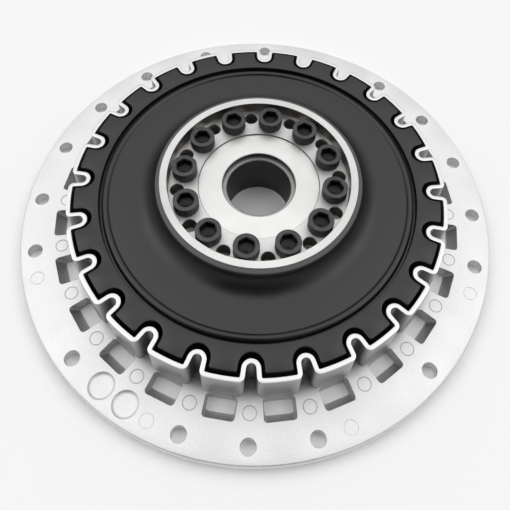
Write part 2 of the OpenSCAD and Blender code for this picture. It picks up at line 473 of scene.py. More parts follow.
@dataclass(frozen=True)
class BlackOxideFinish:
    """Black oxide on screws, slightly oiled, a little paler where it is rubbed."""

    name: str = "black_oxide_steel"
    dark: Colour = (0.055, 0.055, 0.056)
    light: Colour = (0.090, 0.089, 0.088)
    metallic: float = 0.8
    roughness: float = 0.4
    smoother: float = 0.08
    rougher: float = 0.1
    cloud: float = 220.0
    grain: float = 2600.0
    grain_depth: float = 0.00002

    def material(self) -> bpy.types.Material:
        """Builds the finish.

        Returns:
            the material
        """
        g = Graph(bpy.data.materials.new(self.name))
        surface = g.shader(self.metallic, self.roughness)
        cloud = g.noise(self.cloud, detail=4.0)
        grain = g.noise(self.grain, detail=2.0)
        rough = g.span(cloud, self.roughness - self.smoother, self.roughness + self.rougher, *NOISE_SPAN)
        g.link(g.tint(cloud, self.dark, self.light), surface.inputs["Base Color"])
        g.link(rough, surface.inputs["Roughness"])
        g.link(g.bump((grain, self.grain_depth)), surface.inputs["Normal"])
        return g.owner


TRIMMED_RUBBER = RubberFinish("trimmed_rubber", dark=(0.078, 0.078, 0.079), light=(0.094, 0.094, 0.095),
                              roughness=0.65)
TURNED_STEEL = TurnedFinish("turned_steel")
# Darker copy of the turned steel: painted shade inside the sleeve, the pilot bore and the tapped holes.
SHADED_INNER_STEEL = TurnedFinish("shaded_inner_steel", dark=(0.20, 0.19, 0.18), light=(0.28, 0.27, 0.26))
HUB_STEEL = TurnedFinish("hub_steel", dark=(0.73, 0.725, 0.715), light=(0.79, 0.785, 0.775))
# Very dark copy of the turned steel: painted shade on the walls of the bore and the counterbore.
SHADED_BORE_STEEL = TurnedFinish("shaded_bore_steel", dark=(0.05, 0.05, 0.052), light=(0.07, 0.07, 0.072))
# Darker copy of the turned steel: painted shade on the counterbore's floor.
SHADED_SEAT_STEEL = TurnedFinish("shaded_seat_steel", dark=(0.34, 0.335, 0.325), light=(0.42, 0.415, 0.405))
# Darker copy of the black oxide: painted shade inside the sockets and on the heads' knurled sides.
SHADED_BLACK_OXIDE = BlackOxideFinish("shaded_black_oxide", dark=(0.020, 0.020, 0.021), light=(0.034, 0.034, 0.035))


class Pen:
    """Draws edges in a bmesh: lines by extruding a vertex, arcs by spinning it."""

    def __init__(self, bm: BMesh, start: Point) -> None:
        """Sets the pen down.

        Args:
            bm: the mesh to draw in
            start: first point in millimetres
        """
        self.bm = bm
        self.tip: BMVert = bm.verts.new(Vector(start))
        self.verts: list[BMVert] = [self.tip]
        self.edges: Loop = []

    def line(self, *points: Point) -> "Pen":
        """Draws straight lines.

        Args:
            points: the points to draw to
        Returns:
            the pen
        """
        for point in points:
            made = bmesh.ops.extrude_vert_indiv(self.bm, verts=[self.tip])
            self.tip = made["verts"][0]
            self.tip.co = Vector(point)
            self.verts.append(self.tip)
            self.edges.append(made["edges"][0])
        return self

    def section(self, *points: tuple[float, float]) -> "Pen":
        """Draws straight lines in the plane of a turned section.

        Args:
            points: pairs of a radius and a height to draw to
        Returns:
            the pen
        """
        return self.line(*((radius, 0.0, z) for radius, z in points))

    def arc(self, centre: Point, angle: float, steps: int, axis: Vector = Z_AXIS) -> "Pen":
        """Draws an arc.

        Args:
            centre: the arc's centre
            angle: sweep in radians
            steps: number of edges
            axis: the axis of the sweep
        Returns:
            the pen
        """
        last = self.edges[-1] if self.edges else None
        bmesh.ops.spin(self.bm, geom=[self.tip], cent=Vector(centre), axis=axis, dvec=ORIGIN,
                       angle=angle, steps=steps, use_duplicate=False)
        for _ in range(steps):
            last = next(edge for edge in self.tip.link_edges if edge != last)
            self.tip = last.other_vert(self.tip)
            self.edges.append(last)
            self.verts.append(self.tip)
        return self


def ends(edges: Iterable[BMEdge]) -> list[BMVert]:
    """Returns the vertices of edges, each once and in order."""
    return list(dict.fromkeys(vert for edge in edges for vert in edge.verts))


def edges_at(verts: Iterable[BMVert]) -> Loop:
    """Returns the edges at the vertices that are left, each once and in order."""
    return list(dict.fromkeys(edge for vert in verts if vert.is_valid for edge in vert.link_edges))


def turned(bm: BMesh, edges: Loop, steps: int) -> None:
    """Spins a drawn section a full turn about the Z axis.

    Args:
        bm: the mesh
        edges: the section's edges
        steps: facets round the turn
    """
    bmesh.ops.spin(bm, geom=[*ends(edges), *edges], cent=ORIGIN, axis=Z_AXIS, dvec=ORIGIN,
                   angle=FULL_TURN, steps=steps, use_merge=True, use_duplicate=False)


def repeated(bm: BMesh, geom: list[BMVert | BMEdge | BMFace], count: int) -> None:
    """Copies drawn geometry to even places round the Z axis.

    Args:
        bm: the mesh
        geom: the first one's vertices, edges and faces
        count: how many there are in the end
    """
    bmesh.ops.spin(bm, geom=geom, cent=ORIGIN, axis=Z_AXIS, dvec=ORIGIN,
                   angle=FULL_TURN / count * (count - 1), steps=count - 1, use_duplicate=True)


def rotate(bm: BMesh, verts: list[BMVert], degrees: float) -> None:
    """Turns vertices about the Z axis.

    Args:
        bm: the mesh
        verts: the vertices
        degrees: the turn, anticlockwise from above
    """
    turn = Matrix.Rotation(math.radians(degrees), 3, "Z")
    bmesh.ops.rotate(bm, cent=ORIGIN, matrix=turn, verts=verts)


def circle(bm: BMesh, radius: float, z: float, steps: int, at: Vector = ORIGIN) -> Loop:
    """Draws a level circle.

    Args:
        bm: the mesh
        radius: the circle's radius
        z: its height
        steps: number of edges
        at: its centre in plan
    Returns:
        the circle's edges
    """
    made = bmesh.ops.create_circle(bm, cap_ends=False, radius=radius, segments=steps,
                                   matrix=Matrix.Translation((at.x, at.y, z)))
    return edges_at(made["verts"])


def circles(bm: BMesh, profile: Profile, steps: int, at: Vector = ORIGIN) -> list[Loop]:
    """Draws level circles along a profile.

    Args:
        bm: the mesh
        profile: pairs of a radius and a height
        steps: number of edges of each
        at: their centre in plan
    Returns:
        the circles' edges, in the profile's order
    """
    return [circle(bm, radius, z, steps, at) for radius, z in profile]


def bridge(bm: BMesh, loops: list[Loop], material: int = 0) -> None:
    """Joins neighbouring loops by faces.

    Args:
        bm: the mesh
        loops: edge loops in order
        material: index of the faces' material
    """
    for one, two in zip(loops, loops[1:]):
        made = bmesh.ops.bridge_loops(bm, edges=[*one, *two])
        for face in made["faces"]:
            face.material_index = material


def fill(bm: BMesh, edges: Loop) -> None:
    """Fills a face that is level, or nearly so, and may have holes.

    Args:
        bm: the mesh
        edges: the edges of its outline and holes
    """
    bmesh.ops.triangle_fill(bm, use_beauty=True, use_dissolve=False, edges=edges, normal=Z_AXIS)


def open_edges(bm: BMesh, z: float) -> Loop:
    """Finds the open edges at a height.

    Args:
        bm: the mesh
        z: the height
    Returns:
        the edges with a face on one side only
    """
    return [edge for edge in bm.edges
            if edge.is_boundary and all(abs(vert.co.z - z) < WELD for vert in edge.verts)]


def plan(radius: float, degrees: float) -> Vector:
    """Gives a point in plan.

    Args:
        radius: distance from the axis
        degrees: angle from the near side, clockwise from above
    Returns:
        the point, at height 0
    """
    angle = math.radians(-90.0 - degrees)
    return Vector((radius * math.cos(angle), radius * math.sin(angle), 0.0))


def place_piece(bm: BMesh, node: str, materials: list[bpy.types.Material],
                sharp: float = 34.0) -> bpy.types.Object:
    """Turns a mesh drawn in millimetres into the piece that stands for a CAD node.

    Args:
        bm: the mesh, which is freed
        node: the CAD node's name
        materials: materials in index order
        sharp: edges above this angle in degrees stay crisp
    Returns:
        the piece
    """
    bmesh.ops.remove_doubles(bm, verts=bm.verts, dist=WELD)
    bmesh.ops.recalc_face_normals(bm, faces=bm.faces)
    bmesh.ops.scale(bm, vec=(MM, MM, MM), verts=bm.verts)
    mesh = bpy.data.meshes.new("dressed_" + node)
    bm.to_mesh(mesh)
    bm.free()
    mesh.shade_smooth()
    mesh.set_sharp_from_angle(angle=math.radians(sharp))
    piece = bpy.data.objects.new("dressed_" + node, mesh)
    bpy.context.scene.collection.objects.link(piece)
    for material in materials:
        mesh.materials.append(material)
    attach(piece, "root")
    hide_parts(node)
    LOG.info("%s: %d faces", piece.name, len(mesh.polygons))
    return piece


@dataclass
class ToothForm:
    """Outline of one toothed surface: round-ended slots in an arc, with rounded mouths."""

    radius: float
    end_mid: float
    end_radius: float
    corner: float
    slope: float = math.radians(6.0)
    teeth: int = 24
    land_steps: int = 4
    corner_steps: int = 6
    end_steps: int = 14

    def loop(self, bm: BMesh, grow: float, z: float) -> Loop:
        """Draws the closed outline.

        Args:
            bm: the mesh to draw in
            grow: outward offset of the outline
            z: its height
        Returns:
            the loop's edges
        """
        radius = self.radius + grow
        end = self.end_radius - grow
        corner = self.corner + grow
        along = Vector((math.cos(self.slope), math.sin(self.slope), 0.0))
        aside = Vector((-along.y, along.x, 0.0))
        flank = Vector((self.end_mid, 0.0, 0.0)) + (end + corner) * aside
        ahead = flank.dot(along)
        run = math.sqrt(ahead ** 2 - flank.dot(flank) + (radius - corner) ** 2) - ahead
        mouth = flank + run * along
        half_pitch = FULL_TURN / self.teeth / 2.0
        turn_in = math.atan2(mouth.y, mouth.x)
        sweep = QUARTER_TURN - self.slope + turn_in
        axis = Vector((0.0, 0.0, z))
        low = Vector((mouth.x, -mouth.y, z))
        high = Vector((mouth.x, mouth.y, z))
        heart = Vector((self.end_mid, 0.0, z))
        pen = Pen(bm, (radius * math.cos(half_pitch), -radius * math.sin(half_pitch), z))
        pen.arc(axis, half_pitch - turn_in, self.land_steps).arc(low, sweep, self.corner_steps)
        pen.line(heart + end * Vector((aside.x, -aside.y, 0.0)))
        pen.arc(heart, self.slope * 2.0 - math.pi, self.end_steps)
        pen.line(high - corner * aside)
        pen.arc(high, sweep, self.corner_steps).arc(axis, half_pitch - turn_in, self.land_steps)
        rotate(bm, pen.verts, -90.0)
        before = set(bm.edges)
        repeated(bm, [*pen.verts, *pen.edges], self.teeth)
        verts = ends([*pen.edges, *(edge for edge in bm.edges if edge not in before)])
        bmesh.ops.remove_doubles(bm, verts=verts, dist=JOIN)
        return edges_at(verts)

    def loops(self, bm: BMesh, profile: Profile) -> list[Loop]:
        """Draws the outline along a profile.

        Args:
            bm: the mesh to draw in
            profile: pairs of an outward offset and a height
        Returns:
            the loops' edges, in the profile's order
        """
        return [self.loop(bm, grow, z) for grow, z in profile]


@dataclass(frozen=True)
class ScrewPattern:
    """Even circle of the hub's screws, with tapped holes on a wider circle between them."""

    radius: float = 72.5
    tapped_radius: float = 78.5
    count: int = 12
    first: float = 7.0

    def angles(self) -> list[float]:
        """Returns the screws' angles in degrees."""
        return [self.first + i * 360.0 / self.count for i in range(self.count)]

    def screws(self) -> list[Vector]:
        """Returns the screws' centres in plan."""
        return [plan(self.radius, angle) for angle in self.angles()]

    def tapped(self) -> list[Vector]:
        """Returns the tapped holes' centres in plan."""
        return [plan(self.tapped_radius, angle + 180.0 / self.count) for angle in self.angles()]


@dataclass
class DrivingRing:
    """Cast flange with windows, bolt holes, spot marks and the corrugated wall."""

    PLATE: ClassVar[int] = 0
    EDGE: ClassVar[int] = 1
    SKIN: ClassVar[int] = 2

    flange_r: float = 233.35
    flange_t: float = 12.0
    chamfer: float = 1.2
    chamfer_ease: float = 0.2
    rim_steps: int = 288
    bolt_r: float = 219.075
    hole_r: float = 6.75
    hole_edge: float = 0.15
    hole_foot: float = 0.4
    hole_steps: int = 40
    ring_h: float = 54.0
    edge: float = 0.3
    soft: float = 0.25
    window_l: float = 19.1
    window_w: float = 27.5
    window_corner: float = 3.0
    window_ledge: float = 0.02
    window_land: float = 1.0
    window_slope: float = 8.0
    window_taper: float = 1.4
    corner_taper: float = 1.0
    corner_steps: int = 5
    spot_r: float = 5.8
    spot_circle: float = 194.0
    outer_spot_r: float = 6.0
    spot_depth: float = 0.5
    spot_groove: float = 0.4
    spot_edge: float = 0.06
    spot_inset: float = 0.9
    spot_sink: float = 0.04
    spot_steps: int = 36
    dish_r: float = 11.5
    dish_depth: float = 2.6
    dish_fillet: float = 3.2
    dish_circle: float = 216.575
    dish_rings: int = 6
    dish_steps: int = 48
    teeth: int = 24
    bolt_angles: tuple[float, ...] = (
        0.0, 161.0, 180.0, 15.0, -15.0, 45.0, -45.0, 75.0, -75.0, 90.0, -90.0,
        107.0, -107.0, 123.5, -123.5, 141.0, -141.0)
    spot_angles: tuple[float, ...] = (-67.5, -22.5, 22.5, 67.5)
    dish_angles: tuple[float, ...] = (28.5, 35.5)
    outside: ToothForm = field(default_factory=lambda: ToothForm(181.8, 170.7, 4.2, 5.0))
    cavity: ToothForm = field(default_factory=lambda: ToothForm(178.0, 170.7, 8.0, 1.2))

    def wall(self, bm: BMesh) -> None:
        """Builds the wall with rounded top edges.

        Args:
            bm: the mesh
        """
        top, e, t = self.ring_h, self.edge, self.flange_t
        outer = self.outside.loops(bm, (
            (0.0, t), (0.0, top - e), (-EASE * e, top - EASE * e), (-e, top)))
        inner = self.cavity.loops(bm, (
            (e, top), (EASE * e, top - EASE * e), (0.0, top - e), (0.0, e), (e, 0.0)))
        bridge(bm, outer[-3:], self.EDGE)
        bridge(bm, inner[:3], self.EDGE)
        bridge(bm, [outer[-1], inner[0]], self.EDGE)
        bridge(bm, outer[:-2], self.SKIN)
        bridge(bm, inner[2:], self.SKIN)

    def window(self, bm: BMesh, grow: float, z: float) -> Loop:
        """Draws the first window's outline, which draws in below the land at the top.

        Args:
            bm: the mesh
            grow: outward offset of the outline
            z: its height
        Returns:
            the outline's edges
        """
        land = self.flange_t - self.window_land
        sunk = max(0.0, (land - z) / land)
        near = self.outside.radius + self.window_ledge
        far = near + self.window_l - self.window_slope * sunk
        w = self.window_w / 2.0 - self.window_taper * sunk
        c = self.window_corner - self.corner_taper * sunk
        pen = Pen(bm, (far + grow, c - w, z))
        for point, centre in (
                ((far + grow, w - c, z), (far - c, w - c, z)),
                ((near + c, w + grow, z), (near + c, w - c, z)),
                ((near, c - w, z), (near + c, c - w, z)),
                ((far - c, -w - grow, z), (far - c, c - w, z))):
            pen.line(point).arc(centre, QUARTER_TURN, self.corner_steps)
        rotate(bm, pen.verts, -90.0 - 180.0 / self.teeth)
        bmesh.ops.remove_doubles(bm, verts=pen.verts, dist=JOIN)
        return edges_at(pen.verts)

    def windows(self, bm: BMesh) -> None:
        """Builds the windows' walls.

        Args:
            bm: the empty mesh
        """
        t, soft = self.flange_t, self.soft
        profile = ((soft, t), (0.0, t - soft), (0.0, t - self.window_land), (0.0, soft), (soft, 0.0))
        bridge(bm, [self.window(bm, grow, z) for grow, z in profile], self.SKIN)
        repeated(bm, [*bm.verts, *bm.edges, *bm.faces], self.teeth)

    def holes(self, bm: BMesh) -> None:
        """Builds the bolt holes.

        Args:
            bm: the mesh
        """
        r, t, edge, foot = self.hole_r, self.flange_t, self.hole_edge, self.hole_foot
        profile = ((r + edge, t), (r, t - edge), (r, foot), (r + foot, 0.0))
        for angle in self.bolt_angles:
            bridge(bm, circles(bm, profile, self.hole_steps, plan(self.bolt_r, angle)))

    def spot(self, bm: BMesh, at: Vector, r: float, material: int) -> None:
        """Builds a spot mark: a ring groove round a disc that is sunk a little.

        Args:
            bm: the mesh
            at: the mark's centre in plan
            r: the groove's radius
            material: index of the groove's material
        """
        t, w, low = self.flange_t, self.spot_groove, self.flange_t - self.spot_depth
        loops = circles(bm, (
            (r + w, t), (r + w / 2.0, low), (r - w / 2.0, low), (r - w, t - self.spot_edge),
            (r - self.spot_inset, t - self.spot_sink)), self.spot_steps, at)
        bridge(bm, loops[:4], material)
        bridge(bm, loops[3:])
        fill(bm, loops[-1])

    def spots(self, bm: BMesh) -> None:
        """Builds the spot marks at the wall's teeth and on the bolt circle.

        Args:
            bm: the mesh
        """
        for i in range(self.teeth):
            at = plan(self.spot_circle, i * 360.0 / self.teeth)
            self.spot(bm, at, self.spot_r, self.SKIN)
        for angle in self.spot_angles:
            self.spot(bm, plan(self.bolt_r, angle), self.outer_spot_r, self.PLATE)

    def dishes(self, bm: BMesh) -> None:
        """Builds the filleted dishes.

        Args:
            bm: the mesh
        """
        floor_r = self.dish_r - self.dish_fillet
        turns = [math.radians(90.0 / self.dish_rings * i) for i in range(self.dish_rings + 1)]
        profile = [(floor_r + self.dish_fillet * math.cos(turn),
                    self.flange_t - self.dish_depth * math.sin(turn)) for turn in turns]
        for angle in self.dish_angles:
            loops = circles(bm, profile, self.dish_steps, plan(self.dish_circle, angle))
            bridge(bm, loops)
            fill(bm, loops[-1])

    def rim(self, bm: BMesh) -> None:
        """Builds the flange's outer edge, with eased chamfers.

        Args:
            bm: the mesh
        """
        r, c, t = self.flange_r, self.chamfer, self.flange_t
        wide, slim = self.chamfer_ease, self.chamfer_ease / 2.0
        bridge(bm, circles(bm, (
            (r - c - wide, t), (r - c + slim, t - slim), (r - slim, t - c + slim), (r, t - c - wide),
            (r, c + wide), (r - slim, c - slim), (r - c + slim, slim), (r - c - wide, 0.0)),
            self.rim_steps))

    def build(self, finish: CastFinish, edge_finish: MachinedFinish,
              wall_finish: CastSkinFinish) -> bpy.types.Object:
        """Builds and dresses the ring.

        Args:
            finish: the finish of the flange's faces, with painted shade in the wall's grooves
            edge_finish: the finish of the wall's top edge
            wall_finish: the darker finish of the wall's sides, the windows and the inner spots, with
                painted shade in the wall's grooves
        Returns:
            the piece
        """
        bm = bmesh.new()
        self.windows(bm)
        self.holes(bm)
        self.spots(bm)
        self.dishes(bm)
        self.wall(bm)
        self.rim(bm)
        fill(bm, open_edges(bm, self.flange_t))
        fill(bm, open_edges(bm, 0.0))
        return place_piece(bm, "driving_ring",
                           [finish.material(), edge_finish.material(), wall_finish.material()])


@dataclass
class RubberElement:
    """Moulded rubber disc with teeth, bead, neck and lip."""

    LIP: ClassVar[int] = 1

    top: float = 56.0
    tooth_h: float = 42.0
    edge: float = 0.8
    lead_z: float = 52.0
    lead_h: float = 5.0
    band_r: float = 152.1
    band_foot: float = 0.5
    groove_z: float = 50.0
    groove_edge: float = 0.4
    bead_mid: float = 146.1
    bead_z: float = 51.25
    bead_r: float = 3.5
    bead_foot: float = 1.5
    bead_steps: int = 14
    foot_steps: int = 5
    disc_z: float = 53.6
    crown_r: float = 300.0
    crown_steps: int = 8
    under_z: float = 27.0
    neck_r: float = 20.0
    neck_steps: int = 14
    under_neck: float = 6.0
    lip_r: float = 98.0
    lip_z: float = 71.5
    lip_fall: float = 1.2
    lip_corner: tuple[tuple[float, float], ...] = ((1.2, 0.3), (0.4, -0.1), (0.0, -0.9))
    lip_side: float = 2.0
    lip_band: float = 0.5
    sleeve_r: float = 94.0
    steps: int = 192
    form: ToothForm = field(default_factory=lambda: ToothForm(175.2, 166.75, 8.35, 3.0))
    mouth: ToothForm = field(default_factory=lambda: ToothForm(174.8, 169.15, 10.75, 2.0))

    def draw_neck(self, pen: Pen) -> None:
        """Draws the lip's rounded corner and the concave neck below it.

        Args:
            pen: the pen, at the lip's inner edge
        """
        lip = self.lip_z - self.lip_fall
        middle = Vector((self.lip_r + self.neck_r, 0.0, self.disc_z + self.neck_r))
        steep = math.asin((self.disc_z + self.neck_r - lip + self.lip_side) / self.neck_r)
        pen.section(*((self.lip_r - inset, lip + rise) for inset, rise in self.lip_corner))
        pen.line(middle - self.neck_r * Vector((math.cos(steep), 0.0, math.sin(steep))))
        pen.arc(middle, steep - QUARTER_TURN, self.neck_steps, Y_AXIS)

    def draw_bead(self, pen: Pen) -> None:
        """Draws the crowned disc and the bead, with a small fillet between them.

        Args:
            pen: the pen, at the foot of the neck
        """
        inner = self.lip_r + self.neck_r
        width = self.bead_mid - self.bead_r - self.bead_foot / 2.0 - inner
        fall = math.asin(width / self.crown_r)
        low = self.disc_z - self.crown_r * (1.0 - math.cos(fall))
        reach = self.bead_r + self.bead_foot
        drop = low + self.bead_foot - self.bead_z
        lean = math.asin(drop / reach)
        foot = self.bead_mid - math.sqrt(reach ** 2 - drop ** 2)
        pen.arc((inner, 0.0, self.disc_z - self.crown_r), fall, self.crown_steps, Y_AXIS)
        pen.section((foot, low))
        pen.arc((foot, 0.0, low + self.bead_foot), lean - QUARTER_TURN, self.foot_steps, Y_AXIS)
        pen.arc((self.bead_mid, 0.0, self.bead_z), math.pi - lean, self.bead_steps, Y_AXIS)

    def draw_groove(self, pen: Pen) -> None:
        """Draws the groove outside the bead and the inner edge of the toothed band.

        Args:
            pen: the pen, at the bead's outer side
        """
        e, top, band, floor = self.edge, self.top, self.band_r, self.groove_z
        side = self.bead_mid + self.bead_r
        pen.section((side, floor + self.groove_edge), (side + self.groove_edge, floor))
        pen.section((band - self.band_foot, floor), (band, floor + self.band_foot))
        pen.section((band, top - e), (band + EASE * e, top - EASE * e), (band + e, top))

    def upper_section(self, bm: BMesh) -> Loop:
        """Draws the section from the lip to the band's inner edge.

        Args:
            bm: the mesh
        Returns:
            the section's edges
        """
        pen = Pen(bm, (self.sleeve_r, 0.0, self.lip_z))
        self.draw_neck(pen)
        self.draw_bead(pen)
        self.draw_groove(pen)
        return pen.edges

    def lower_section(self, bm: BMesh) -> Loop:
        """Draws the section of the underside, from the lip down the sleeve to the band.

        Args:
            bm: the mesh
        Returns:
            the section's edges
        """
        e, low = self.edge, self.top - self.tooth_h
        foot = self.under_z - self.under_neck
        pen = Pen(bm, (self.sleeve_r, 0.0, self.lip_z))
        pen.section((self.sleeve_r, foot), (self.lip_r, foot))
        pen.section((self.lip_r + self.under_neck, self.under_z), (self.band_r, self.under_z))
        pen.section((self.band_r, low + e), (self.band_r + e, low))
        return pen.edges

    def teeth(self, bm: BMesh) -> None:
        """Builds the toothed outside, which has a lead-in at the top.

        Args:
            bm: the mesh
        """
        e, top, low = self.edge, self.top, self.top - self.tooth_h
        loops = self.mouth.loops(bm, (
            (-e, top), (-EASE * e, top - EASE * e), (0.0, top - e), (0.0, self.lead_z)))
        loops += self.form.loops(bm, (
            (0.0, self.lead_z - self.lead_h), (0.0, low + e), (-e, low)))
        bridge(bm, loops)

    def build(self, finish: RubberFinish, lip_finish: RubberFinish) -> bpy.types.Object:
        """Builds and dresses the rubber.

        Args:
            finish: the rubber's finish
            lip_finish: the finish of the trimmed lip
        Returns:
            the piece
        """
        bm = bmesh.new()
        turned(bm, self.upper_section(bm), self.steps)
        turned(bm, self.lower_section(bm), self.steps)
        bmesh.ops.remove_doubles(bm, verts=bm.verts, dist=WELD)
        self.teeth(bm)
        fill(bm, open_edges(bm, self.top))
        fill(bm, open_edges(bm, self.top - self.tooth_h))
        lip = self.lip_z - self.lip_fall - self.lip_band
        for face in bm.faces:
            spot = face.calc_center_median()
            if spot.z > lip and spot.xy.length > self.sleeve_r + PLAY:
                face.material_index = self.LIP
        return place_piece(bm, "rubber_element", [finish.material(), lip_finish.material()])


@dataclass
class ElementRing:
    """Turned steel sleeve with the bolting flange."""

    INNER: ClassVar[int] = 1

    sleeve_r: float = 94.0
    sleeve_in: float = 87.0
    top: float = 72.5
    bottom: float = 18.0
    face_z: float = 58.5
    seat_z: float = 42.5
    pilot_r: float = 58.3
    screw_hole_r: float = 8.75
    screw_hole_steps: int = 40
    tapped_r: float = 6.5
    tapped_steps: int = 32
    thread_pitch: float = 2.0
    thread_depth: float = 0.55
    thread_end: float = 0.5
    chamfer: float = 0.5
    edge: float = 0.2
    seam: float = 0.4
    steps: int = 192
    pattern: ScrewPattern = ScrewPattern()

    def sleeve(self, bm: BMesh) -> None:
        """Builds the sleeve and the pilot bore.

        Args:
            bm: the mesh
        """
        c, e, face, seat = self.chamfer, self.edge, self.face_z, self.seat_z
        inside, outside, top, bottom = self.sleeve_in, self.sleeve_r, self.top, self.bottom
        pen = Pen(bm, (inside - c, 0.0, face))
        pen.section((inside, face + c), (inside, top - e), (inside + e, top))
        pen.section((outside - e, top), (outside, top - e), (outside, bottom + c))
        pen.section((outside - c, bottom), (inside + c, bottom), (inside, bottom + c), (inside, seat))
        turned(bm, pen.edges, self.steps)
        pilot = Pen(bm, (self.pilot_r + self.seam, 0.0, face))
        pilot.section((self.pilot_r, face - self.seam), (self.pilot_r, seat))
        turned(bm, pilot.edges, self.steps)

    def tapped_hole(self, bm: BMesh, at: Vector) -> None:
        """Builds a tapped hole's wall, with thread rings.

        Args:
            bm: the mesh
            at: the hole's centre in plan
        """
        r, mouth = self.tapped_r, self.face_z - self.chamfer
        profile = [(r, mouth)]
        z = mouth - self.thread_pitch
        while z > self.seat_z + self.thread_end:
            profile += [(r + self.thread_depth, z + self.thread_pitch / 2.0), (r, z)]
            z -= self.thread_pitch
        profile.append((r, self.seat_z))
        loops = circles(bm, profile, self.tapped_steps, at)
        bridge(bm, [circle(bm, r + self.chamfer, self.face_z, self.tapped_steps, at), loops[0]])
        # The threads take the darker copy of the steel, as painted shade.
        bridge(bm, loops, self.INNER)

    def screw_hole(self, bm: BMesh, at: Vector) -> None:
        """Builds a screw's clearance hole.

        Args:
            bm: the mesh
            at: the hole's centre in plan
        """
        r, c = self.screw_hole_r, self.chamfer
        profile = ((r + c, self.face_z), (r, self.face_z - c), (r, self.seat_z))
        bridge(bm, circles(bm, profile, self.screw_hole_steps, at))

    def build(self, finish: TurnedFinish, inner_finish: TurnedFinish) -> bpy.types.Object:
        """Builds and dresses the sleeve.

        Args:
            finish: the steel's finish
            inner_finish: the darker finish with painted shade inside the sleeve, the pilot bore and the
                tapped holes
        Returns:
            the piece
        """
        bm = bmesh.new()
        self.sleeve(bm)
        for screw, tapped in zip(self.pattern.screws(), self.pattern.tapped()):
            self.screw_hole(bm, screw)
            self.tapped_hole(bm, tapped)
        bmesh.ops.remove_doubles(bm, verts=bm.verts, dist=WELD)
        fill(bm, open_edges(bm, self.face_z))
        fill(bm, open_edges(bm, self.seat_z))
        # Painted shade: faces inside the sleeve and the pilot bore take the darker copy of the steel.
        for face in bm.faces:
            spot = face.calc_center_median()
            r = spot.xy.length
            in_recess = spot.z > self.face_z and abs(r - self.sleeve_in) < PLAY
            in_pilot = spot.z < self.face_z - PLAY and r < self.pilot_r + self.seam
            if in_recess or in_pilot:
                face.material_index = self.INNER
        return place_piece(bm, "element_ring", [finish.material(), inner_finish.material()])


@dataclass
class Hub:
    """Turned hub with spigot, flange, barrel and counterbored bore."""

    BORE: ClassVar[int] = 1
    SEAT: ClassVar[int] = 2

    bore_r: float = 31.0
    bore_edge: float = 0.8
    counterbore_r: float = 35.4
    counterbore_z: float = 51.5
    counterbore_edge: float = 0.5
    spigot_r: float = 58.25
    spigot_edge: float = 0.2
    flange_r: float = 85.5
    barrel_r: float = 51.75
    barrel_foot: float = 0.8
    face_z: float = 57.0
    seat_z: float = 42.5
    flange_z: float = 20.5
    chamfer: float = 1.0
    tapped_r: float = 8.1
    tapped_edge: float = 0.7
    tapped_steps: int = 36
    steps: int = 192
    pattern: ScrewPattern = ScrewPattern()

    def body(self, bm: BMesh) -> None:
        """Builds the flange's edge, and the spigot, bore and barrel.

        Args:
            bm: the mesh
        """
        c, face, under, step = self.chamfer, self.face_z, self.flange_z, self.counterbore_z
        edge = Pen(bm, (self.flange_r - c, 0.0, under))
        edge.section((self.flange_r, under + c), (self.flange_r, self.seat_z))
        turned(bm, edge.edges, self.steps)
        pen = Pen(bm, (self.spigot_r, 0.0, self.seat_z))
        pen.section((self.spigot_r, face - self.spigot_edge), (self.spigot_r - self.spigot_edge, face))
        pen.section((self.counterbore_r + self.counterbore_edge, face))
        pen.section((self.counterbore_r, face - self.counterbore_edge), (self.counterbore_r, step))
        pen.section((self.bore_r + self.bore_edge, step), (self.bore_r, step - self.bore_edge))
        pen.section((self.bore_r, c), (self.bore_r + c, 0.0))
        pen.section((self.barrel_r - c, 0.0), (self.barrel_r, c))
        pen.section((self.barrel_r, under - self.barrel_foot), (self.barrel_r + self.barrel_foot, under))
        turned(bm, pen.edges, self.steps)

    def tapped_hole(self, bm: BMesh, at: Vector) -> None:
        """Builds a screw's hole.

        Args:
            bm: the mesh
            at: the hole's centre in plan
        """
        r, edge, under = self.tapped_r, self.tapped_edge, self.flange_z
        profile = ((r, self.seat_z), (r, under + edge), (r + edge, under))
        bridge(bm, circles(bm, profile, self.tapped_steps, at))

    def build(self, finish: TurnedFinish, bore_finish: TurnedFinish,
              seat_finish: TurnedFinish) -> bpy.types.Object:
        """Builds and dresses the hub.

        Args:
            finish: the steel's finish
            bore_finish: the finish with painted shade on the walls of the bore and the counterbore
            seat_finish: the finish with painted shade on the counterbore's floor
        Returns:
            the piece
        """
        bm = bmesh.new()
        self.body(bm)
        for at in self.pattern.screws():
            self.tapped_hole(bm, at)
        bmesh.ops.remove_doubles(bm, verts=bm.verts, dist=WELD)
        fill(bm, open_edges(bm, self.seat_z))
        fill(bm, open_edges(bm, self.flange_z))
        # Painted shade: the bore's and counterbore's walls and the counterbore's floor take darker
        # copies of the steel.
        for face in bm.faces:
            spot = face.calc_center_median()
            r = spot.xy.length
            on_bore = r < self.bore_r + PLAY
            on_step = spot.z > self.counterbore_z + PLAY and r < self.counterbore_r + PLAY
            on_seat = abs(spot.z - self.counterbore_z) < self.bore_edge and r < self.counterbore_r
            if on_bore or on_step:
                face.material_index = self.BORE
            elif on_seat:
                face.material_index = self.SEAT
        return place_piece(bm, "hub",
                           [finish.material(), bore_finish.material(), seat_finish.material()])


